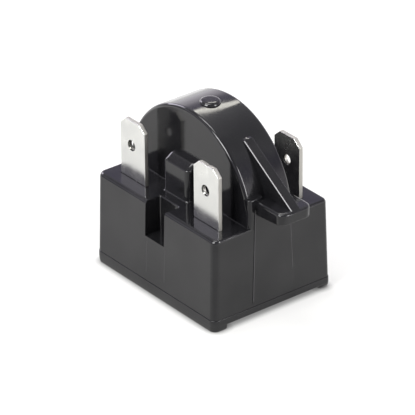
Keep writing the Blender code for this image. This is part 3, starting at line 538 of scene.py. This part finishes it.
def plate_points(places, low_x, high_x):
    """Outline of a stamped plate in (x, z): its bar, with a shouldered leg and a tab at each place."""
    foot, bar, shelf = PLATE_FOOT, PLATE_TOP, CAVITY_TOP - SEAT_GAP
    points, radii = [(low_x, foot), (high_x, foot)], [0.3, 0.3]
    for x, _, tip, nick, _ in sorted(places, reverse=True):
        if x + LEG_HALF < high_x - 0.01:
            points.append((high_x if not points[2:] else x + LEG_HALF, bar))
            radii.append(0.2)
        points += [(x + LEG_HALF, shelf), (x + TAB_HALF, shelf)]
        radii += [0.25, 0.0]
        edge = chamfered_tab(tip, nick)
        points += [(x + dx, z) for dx, z in edge]
        radii += [0.18] * len(edge)
        points += [(x - TAB_HALF, shelf), (x - LEG_HALF, shelf)]
        radii += [0.0, 0.25]
        if x - LEG_HALF > low_x + 0.01:
            points.append((x - LEG_HALF, bar))
            radii.append(0.2)
    if places and min(x for x, *_ in places) - LEG_HALF > low_x + 0.01:
        points.append((low_x, bar))
        radii.append(0.3)
    return points, radii


def detent(x, y, z):
    """Cutter for a tab's hole, with the coined rim that the punch leaves on both faces."""
    half = [(0.2, HOLE_RADIUS), (0.25, HOLE_RADIUS + 0.04), (0.4, RIM_RADIUS), (0.6, RIM_RADIUS + 0.05)]
    path = [(-at, r) for at, r in reversed(half)] + half
    rings = []
    for at, r in path:
        turns = [2 * math.pi * k / 48 for k in range(48)]
        rings.append([(x + r * math.cos(t), y + at, z + r * math.sin(t)) for t in turns])
    return loft(rings)


def make_terminal(name, places, low_x, high_x, socket_x):
    """Stamped plate with coined tabs, a tongue towards its socket and a rivet hole."""
    y = places[0][1]
    points, radii = plate_points(places, low_x, high_x)
    edges = levels(y - TAB_HALF_THICK, y + TAB_HALF_THICK, 0.11, 0.16, 3)
    plate = scene_object(name, prism(rounded_profile(points, radii, 4), edges, along_y))
    side = math.copysign(1.0, y)
    near, far = side * (SOCKET_RADIUS + 0.45), y
    rivet_y = side * (SOCKET_RADIUS + abs(y) - TAB_HALF_THICK) / 2
    low, high = min(near, far), max(near, far)
    tongue = rounded_profile(rectangle(2.5, (high - low) / 2, socket_x, (low + high) / 2), 0.3, 4)
    joins = [prism(tongue, levels(PLATE_FOOT, PLATE_FOOT + TONGUE_THICKNESS, 0.08, 0.08, 2), along_z)]
    cuts = [detent(x + off[0], y, tip - HOLE_DROP + off[1]) for x, _, tip, _, off in places]
    cuts.append(turned([(0.0, 0.95), (CAVITY_TOP, 0.95)], socket_x, rivet_y, 32))
    return solid(plate, joins, cuts)


def dress(item, material, node_name):
    """Place a finer piece in the frame, finish it and let it stand for its node."""
    shift_to_frame(item)
    smooth(item)
    item.data.materials.clear()
    item.data.materials.append(material)
    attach(item, "root")
    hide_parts(node_name)


# Materials


def node(tree, kind, **values):
    made = tree.nodes.new(kind)
    for key, value in values.items():
        if hasattr(made, key):
            setattr(made, key, value)
        else:
            made.inputs[key.replace("_", " ")].default_value = value
    return made


def principled(name):
    material = bpy.data.materials.new(name)
    material.use_nodes = True
    tree = material.node_tree
    return material, tree, tree.nodes["Principled BSDF"]


def noise(tree, place, scale, detail=2.0, stretch=(1, 1, 1), roughness=0.5):
    """Noise over the piece's own coordinates, in cycles per metre."""
    lay = node(tree, "ShaderNodeMapping")
    lay.inputs["Scale"].default_value = stretch
    tree.links.new(place, lay.inputs["Vector"])
    made = node(tree, "ShaderNodeTexNoise", Scale=scale, Detail=detail, Roughness=roughness)
    tree.links.new(lay.outputs["Vector"], made.inputs["Vector"])
    return made.outputs["Fac"]


def remap(tree, value, low, high, to_low, to_high):
    """Smooth step of a value between two levels."""
    step = node(tree, "ShaderNodeMapRange", From_Min=low, From_Max=high, To_Min=to_low, To_Max=to_high)
    step.interpolation_type = "SMOOTHSTEP"
    tree.links.new(value, step.inputs["Value"])
    return step.outputs["Result"]


def maths(tree, operation, first, second):
    made = node(tree, "ShaderNodeMath", operation=operation)
    for slot_at, value in enumerate((first, second)):
        if isinstance(value, (int, float)):
            made.inputs[slot_at].default_value = value
        else:
            tree.links.new(value, made.inputs[slot_at])
    return made.outputs[0]


def mixed(tree, share, first, second):
    """Colour between two colours or outputs by a share."""
    made = tree.nodes.new("ShaderNodeMix")
    made.data_type = "RGBA"
    tree.links.new(share, made.inputs["Factor"])
    for slot_at, value in ((6, first), (7, second)):
        if isinstance(value, tuple):
            made.inputs[slot_at].default_value = (*value, 1)
        else:
            tree.links.new(value, made.inputs[slot_at])
    return made.outputs[2]


def painted_line_mask(tree, place, lean, offset, width, low, high):
    """Mask of a thin straight painted highlight line: where the place along lean is near offset, between two
    corners.
    """
    dot = node(tree, "ShaderNodeVectorMath", operation="DOT_PRODUCT")
    dot.inputs[1].default_value = lean
    tree.links.new(place, dot.inputs[0])
    away = maths(tree, "ABSOLUTE", maths(tree, "SUBTRACT", dot.outputs["Value"], offset * MM), 0.0)
    mask = remap(tree, away, 0.0, width * MM, 1.0, 0.0)
    split = tree.nodes.new("ShaderNodeSeparateXYZ")
    tree.links.new(place, split.inputs[0])
    for axis in range(3):
        mask = maths(tree, "MULTIPLY", mask, maths(tree, "GREATER_THAN", split.outputs[axis], low[axis] * MM))
        mask = maths(tree, "MULTIPLY", mask, maths(tree, "LESS_THAN", split.outputs[axis], high[axis] * MM))
    return mask


def black_plastic(name, highlight_lines=()):
    """Glossy moulded plastic: slow waves from shrinkage, fine grain, scuffs, dust, and thin lighter lines
    that are painted highlights.
    """
    material, tree, shader = principled(name)
    place = tree.nodes.new("ShaderNodeTexCoord").outputs["Object"]
    grain = noise(tree, place, 2600.0, 3.0)
    patch = noise(tree, place, 160.0, 3.0)
    scuff = remap(tree, noise(tree, place, 900.0, 4.0, (1.0, 1.0, 0.12), 0.7), 0.66, 0.74, 0.0, 1.0)
    scuff = maths(tree, "MULTIPLY", scuff, remap(tree, patch, 0.45, 0.62, 0.0, 1.0))
    dust = remap(tree, noise(tree, place, 5200.0, 1.0), 0.74, 0.8, 0.0, 1.0)
    shine = remap(tree, grain, 0.25, 0.75, 0.075, 0.125)
    shine = maths(tree, "ADD", shine, remap(tree, patch, 0.35, 0.7, 0.0, 0.035))
    shine = maths(tree, "ADD", shine, maths(tree, "MULTIPLY", scuff, 0.12))
    tree.links.new(shine, shader.inputs["Roughness"])
    colour = mixed(tree, remap(tree, patch, 0.3, 0.7, 0.0, 1.0),
                   (0.007, 0.007, 0.008), (0.0122, 0.0121, 0.0129))
    colour = mixed(tree, maths(tree, "MULTIPLY", scuff, 0.25), colour, (0.045, 0.045, 0.047))
    colour = mixed(tree, maths(tree, "MULTIPLY", dust, 0.5), colour, (0.06, 0.058, 0.055))
    # Thin lighter lines: painted highlights along edges, and painted sheen on faint moulding lines.
    for share, line in highlight_lines:
        mask = maths(tree, "MULTIPLY", painted_line_mask(tree, place, *line), share)
        colour = mixed(tree, mask, colour, PAINTED_HIGHLIGHT_COLOUR)
    tree.links.new(colour, shader.inputs["Base Color"])
    shader.inputs["IOR"].default_value = 1.49
    slow = node(tree, "ShaderNodeBump", Strength=0.5, Distance=0.0001)
    tree.links.new(noise(tree, place, 110.0, 1.0), slow.inputs["Height"])
    fine = node(tree, "ShaderNodeBump", Strength=0.12, Distance=0.000008)
    tree.links.new(grain, fine.inputs["Height"])
    tree.links.new(slow.outputs["Normal"], fine.inputs["Normal"])
    tree.links.new(fine.outputs["Normal"], shader.inputs["Normal"])
    return material


def painted_hole_shade_mask(tree, place, x, z, shaded_wall):
    """Mask of the painted shade on the coined rim round a hole along Y, at x and z in mm, and on its wall too
    when the wall is to be painted dark as shade.
    """
    flat = node(tree, "ShaderNodeVectorMath", operation="MULTIPLY")
    flat.inputs[1].default_value = (1, 0, 1)
    tree.links.new(place, flat.inputs[0])
    far = node(tree, "ShaderNodeVectorMath", operation="DISTANCE")
    far.inputs[1].default_value = (x * MM, 0, z * MM)
    tree.links.new(flat.outputs["Vector"], far.inputs[0])
    outer = remap(tree, far.outputs["Value"], (RIM_RADIUS - 0.02) * MM, (RIM_RADIUS + 0.05) * MM, 1.0, 0.0)
    if shaded_wall:
        return outer
    inner = remap(tree, far.outputs["Value"], (HOLE_RADIUS + 0.01) * MM, (HOLE_RADIUS + 0.04) * MM, 0.0, 1.0)
    return maths(tree, "MULTIPLY", inner, outer)


def sheet_metal(name, dull, bright, smooth_low, smooth_high, stretch=(1, 1, 0.15), low_tint=None, holes=(),
                shaded_back_dull_edges=False):
    """Metal strip with a cloudy tone and fine rolling marks along one direction.

    A bluish tint colours it just above the ledge, and holes get painted shade on their rims. The
    back flag paints the faces towards the back darker as painted shade, and makes the cut edges
    duller and rougher.
    """
    material, tree, shader = principled(name)
    place = tree.nodes.new("ShaderNodeTexCoord").outputs["Object"]
    cloud = noise(tree, place, 380.0, 5.0, (1, 1, 1), 0.6)
    marks = noise(tree, place, 3600.0, 3.0, stretch)
    spots = remap(tree, noise(tree, place, 2100.0, 2.0), 0.68, 0.78, 0.0, 1.0)
    colour = mixed(tree, remap(tree, cloud, 0.3, 0.7, 0.0, 1.0), dull, bright)
    colour = mixed(tree, maths(tree, "MULTIPLY", spots, 0.35), colour, tuple(c * 0.72 for c in dull))
    # A bluish tint just above the ledge, fading out over 3 mm.
    if low_tint:
        split = tree.nodes.new("ShaderNodeSeparateXYZ")
        tree.links.new(place, split.inputs[0])
        low = remap(tree, split.outputs["Z"], (LEDGE + 0.2) * MM, (LEDGE + 3.2) * MM, 0.15, 0.0)
        colour = mixed(tree, low, colour, low_tint)
    # Painted shade: a dark ring on each hole's coined rim, and on the left tab the hole's wall too.
    for x, z, shaded_wall in holes:
        colour = mixed(tree, painted_hole_shade_mask(tree, place, x, z, shaded_wall), colour, (0.10, 0.10, 0.09))
    if shaded_back_dull_edges:
        facing = tree.nodes.new("ShaderNodeSeparateXYZ")
        tree.links.new(tree.nodes.new("ShaderNodeTexCoord").outputs["Normal"], facing.inputs[0])
        # Painted shade: the faces towards the back are painted darker. The cut edges get a duller colour of
        # their own.
        colour = mixed(tree, remap(tree, facing.outputs["Y"], 0.5, 0.9, 0.0, 1.0), colour, (0.36, 0.36, 0.35))
        cut_edge = remap(tree, maths(tree, "ABSOLUTE", facing.outputs["Y"], 0.0), 0.3, 0.7, 1.0, 0.0)
        colour = mixed(tree, cut_edge, colour, (0.44, 0.43, 0.4))
    tree.links.new(colour, shader.inputs["Base Color"])
    shader.inputs["Metallic"].default_value = 1.0
    shine = maths(tree, "ADD", remap(tree, cloud, 0.3, 0.7, smooth_low, smooth_high),
                  maths(tree, "MULTIPLY", marks, 0.06))
    if shaded_back_dull_edges:
        shine = maths(tree, "ADD", shine, maths(tree, "MULTIPLY", cut_edge, 0.32))
    tree.links.new(shine, shader.inputs["Roughness"])
    bump = node(tree, "ShaderNodeBump", Strength=0.15, Distance=0.000006)
    tree.links.new(marks, bump.inputs["Height"])
    tree.links.new(bump.outputs["Normal"], shader.inputs["Normal"])
    return material


def ceramic(name):
    """Matt silvered ceramic with a mottled coat and small pits."""
    material, tree, shader = principled(name)
    place = tree.nodes.new("ShaderNodeTexCoord").outputs["Object"]
    mottle = noise(tree, place, 700.0, 5.0, (1, 1, 1), 0.65)
    pits = remap(tree, noise(tree, place, 3000.0, 2.0), 0.62, 0.72, 0.0, 1.0)
    colour = mixed(tree, mottle, (0.36, 0.35, 0.33), (0.5, 0.49, 0.47))
    colour = mixed(tree, pits, colour, (0.2, 0.19, 0.18))
    tree.links.new(colour, shader.inputs["Base Color"])
    shader.inputs["Metallic"].default_value = 0.35
    tree.links.new(remap(tree, mottle, 0.3, 0.7, 0.45, 0.65), shader.inputs["Roughness"])
    bump = node(tree, "ShaderNodeBump", Strength=0.3, Distance=0.00002)
    tree.links.new(mottle, bump.inputs["Height"])
    tree.links.new(bump.outputs["Normal"], shader.inputs["Normal"])
    return material


# Camera, room and lamps


def make_camera():
    """Camera on the fitted direction, rolled a little and shifted to the photo's middle."""
    aim = Vector((CENTRE_X + AIM_FROM_CENTRE[0], AIM_FROM_CENTRE[1], LEDGE + AIM_FROM_CENTRE[2])) * MM
    back = Vector((math.sin(AZIMUTH) * math.cos(ELEVATION), -math.cos(AZIMUTH) * math.cos(ELEVATION),
                   math.sin(ELEVATION)))
    level = Vector((math.cos(AZIMUTH), math.sin(AZIMUTH), 0.0))
    upright = back.cross(level)
    right = level * math.cos(ROLL) + upright * math.sin(ROLL)
    up = upright * math.cos(ROLL) - level * math.sin(ROLL)
    data = bpy.data.cameras.new("camera")
    data.sensor_width = SENSOR
    data.lens = FOCAL_PIXELS / FRAME_PIXELS * SENSOR
    data.clip_start = 0.01
    data.clip_end = 20.0
    camera = bpy.data.objects.new("camera", data)
    bpy.context.scene.collection.objects.link(camera)
    place = aim + right * AIM_SHIFT[0] + up * AIM_SHIFT[1] + back * DISTANCE
    camera.matrix_world = Matrix(((right.x, up.x, back.x, place.x), (right.y, up.y, back.y, place.y),
                                  (right.z, up.z, back.z, place.z), (0, 0, 0, 1)))
    bpy.context.scene.camera = camera


def sky_ramp(tree, height, stops):
    """Colour ramp over the height of a direction, from (height, colour) pairs."""
    ramp = tree.nodes.new("ShaderNodeValToRGB")
    tree.links.new(height, ramp.inputs["Fac"])
    elements = ramp.color_ramp.elements
    elements[0].position, elements[0].color = stops[0][0], (*stops[0][1], 1)
    elements[1].position, elements[1].color = stops[-1][0], (*stops[-1][1], 1)
    for at, colour in stops[1:-1]:
        elements.new(at).color = (*colour, 1)
    return ramp.outputs["Color"]


def make_world():
    """White studio: a bright backdrop behind, a dark strip of room low in front, soft grey above."""
    world = bpy.data.worlds.new("world")
    bpy.context.scene.world = world
    world.use_nodes = True
    tree = world.node_tree
    place = tree.nodes.new("ShaderNodeTexCoord")
    split = tree.nodes.new("ShaderNodeSeparateXYZ")
    tree.links.new(place.outputs["Generated"], split.inputs["Vector"])
    behind = sky_ramp(tree, split.outputs["Z"], SKY_BEHIND)
    ahead = sky_ramp(tree, split.outputs["Z"], SKY_AHEAD)
    sky = mixed(tree, remap(tree, split.outputs["Y"], -0.3, 0.25, 0.0, 1.0), ahead, behind)
    shade = remap(tree, split.outputs["X"], -0.2, 0.5, 0.0, 0.35)
    room = mixed(tree, shade, sky, BLACK)
    path = tree.nodes.new("ShaderNodeLightPath")
    seen = mixed(tree, path.outputs["Is Camera Ray"], room, BACKDROP_SEEN)
    tree.links.new(seen, tree.nodes["Background"].inputs["Color"])


def painted_glow(tree, paint, shade, strength):
    """White paint with a glow of its own. The paint is black where the shade is 0."""
    plain = tree.nodes.new("ShaderNodeBsdfDiffuse")
    light = tree.nodes.new("ShaderNodeEmission")
    tree.links.new(mixed(tree, shade, BLACK, (paint, paint, paint * BLUE_SHARE)), plain.inputs["Color"])
    tree.links.new(strength, light.inputs["Strength"])
    add = tree.nodes.new("ShaderNodeAddShader")
    tree.links.new(plain.outputs[0], add.inputs[0])
    tree.links.new(light.outputs[0], add.inputs[1])
    return add.outputs[0]


def mirrored_floor(tree):
    """The floor as mirrors show it: brighter far off, a little darker off the near corner."""
    place = tree.nodes.new("ShaderNodeTexCoord").outputs["Object"]
    far = node(tree, "ShaderNodeVectorMath", operation="LENGTH")
    tree.links.new(place, far.inputs[0])
    bright = remap(tree, far.outputs["Value"], *FAR_RANGE, MIRRORED_GLOW, MIRRORED_GLOW + FAR_GLOW)
    split = tree.nodes.new("ShaderNodeSeparateXYZ")
    tree.links.new(place, split.inputs[0])
    dark = maths(tree, "MULTIPLY", remap(tree, split.outputs["X"], *NEAR_CORNER_X, 0.0, 1.0),
                 remap(tree, split.outputs["Y"], *NEAR_CORNER_Y, 1.0, 0.0))
    lit = maths(tree, "SUBTRACT", 1.0, maths(tree, "MULTIPLY", dark, NEAR_CORNER_SHADE))
    return painted_glow(tree, MIRRORED_PAINT, lit, maths(tree, "MULTIPLY", bright, lit))


def seen_floor(tree):
    """The floor as the camera sees it, shaded only close to what stands on it."""
    near = node(tree, "ShaderNodeAmbientOcclusion", Distance=CONTACT_SHADE * MM)
    near.samples = CONTACT_SAMPLES
    shade = near.outputs["AO"]
    return painted_glow(tree, SEEN_PAINT, shade, maths(tree, "MULTIPLY", shade, SEEN_GLOW))


def make_floor():
    """White table that glows a little, so that it stays white. Mirrors and the camera see it differently."""
    bm = bmesh.new()
    bmesh.ops.create_grid(bm, x_segments=1, y_segments=1, size=FLOOR_HALF)
    floor = scene_object("floor", bm)
    material = bpy.data.materials.new("white_floor")
    material.use_nodes = True
    tree = material.node_tree
    tree.nodes.remove(tree.nodes["Principled BSDF"])
    path = tree.nodes.new("ShaderNodeLightPath")
    choose = tree.nodes.new("ShaderNodeMixShader")
    tree.links.new(path.outputs["Is Camera Ray"], choose.inputs[0])
    tree.links.new(mirrored_floor(tree), choose.inputs[1])
    tree.links.new(seen_floor(tree), choose.inputs[2])
    tree.links.new(choose.outputs[0], tree.nodes["Material Output"].inputs["Surface"])
    floor.data.materials.append(material)


def lamp(name, place, target, size_x, size_y, radiance, colour, along):
    """Area lamp that looks at a point in mm, set by the brightness of its face.

    Its width is laid along a direction where one is given.
    """
    data = bpy.data.lights.new(name, "AREA")
    data.shape = "RECTANGLE"
    data.size = size_x * MM
    data.size_y = size_y * MM
    data.energy = radiance * math.pi * data.size * data.size_y
    data.color = colour
    item = bpy.data.objects.new(name, data)
    item.location = Vector(place) * MM
    item.rotation_euler = (Vector(target) * MM - item.location).to_track_quat("-Z", "Y").to_euler()
    if along:
        away = (item.location - Vector(target) * MM).normalized()
        side = away.cross(Vector(along)).normalized()
        item.rotation_euler = Matrix((side.cross(away), side, away)).transposed().to_euler()
    item.visible_camera = False
    bpy.context.scene.collection.objects.link(item)


make_camera()
left, right, rear = tab_places()
tab_holes = [(CENTRE_X + x + off[0], tip - HOLE_DROP + off[1], x < 0) for x, _, tip, _, off in (left, right)]
black = black_plastic("housing_black", PAINTED_HIGHLIGHT_LINES)
cover_black = black_plastic("cover_black")
metal = sheet_metal("tinned_tabs", (0.71, 0.715, 0.695), (0.79, 0.795, 0.765), 0.15, 0.24,
                    low_tint=(0.5, 0.49, 0.56), holes=tab_holes, shaded_back_dull_edges=True)
plain_metals = {
    "pin_socket": sheet_metal("tinned_sockets", (0.66, 0.65, 0.62), (0.74, 0.73, 0.70), 0.2, 0.34),
    "socket_band": sheet_metal("steel_bands", (0.5, 0.51, 0.52), (0.6, 0.61, 0.62), 0.18, 0.3,
                               (0.15, 0.15, 1)),
    "contact_spring": sheet_metal("spring_plates", (0.52, 0.53, 0.54), (0.62, 0.63, 0.64), 0.14, 0.26,
                                  (1, 1, 0.1)),
    "rivet": sheet_metal("brass_rivets", (0.60, 0.42, 0.17), (0.70, 0.53, 0.26), 0.2, 0.38, (1, 1, 1)),
    "thermistor_disc": ceramic("silvered_ceramic"),
}

dress(make_housing(), black, "housing")
dress(make_cover(), cover_black, "bottom_cover")
run = make_terminal("run_tabs", (left, right), left[0] - LEG_HALF, right[0] + LEG_HALF, -PIN_X)
dress(run, metal, "run_terminal")
start = make_terminal("start_tab", (rear,), START_BAR_LOW, rear[0] + LEG_HALF, PIN_X)
dress(start, metal, "start_terminal")

for name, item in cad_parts.items():
    if name in REPLACED:
        continue
    item.data.materials.clear()
    item.data.materials.append(next(look for part, look in plain_metals.items() if part in name))

make_world()
make_floor()
for title, way, away, wide, tall, radiance, colour, along in LAMPS:
    lamp(title, CROWN + Vector(way).normalized() * away, CROWN, wide, tall, radiance, colour, along)

bpy.context.scene.view_settings.view_transform = "Standard"
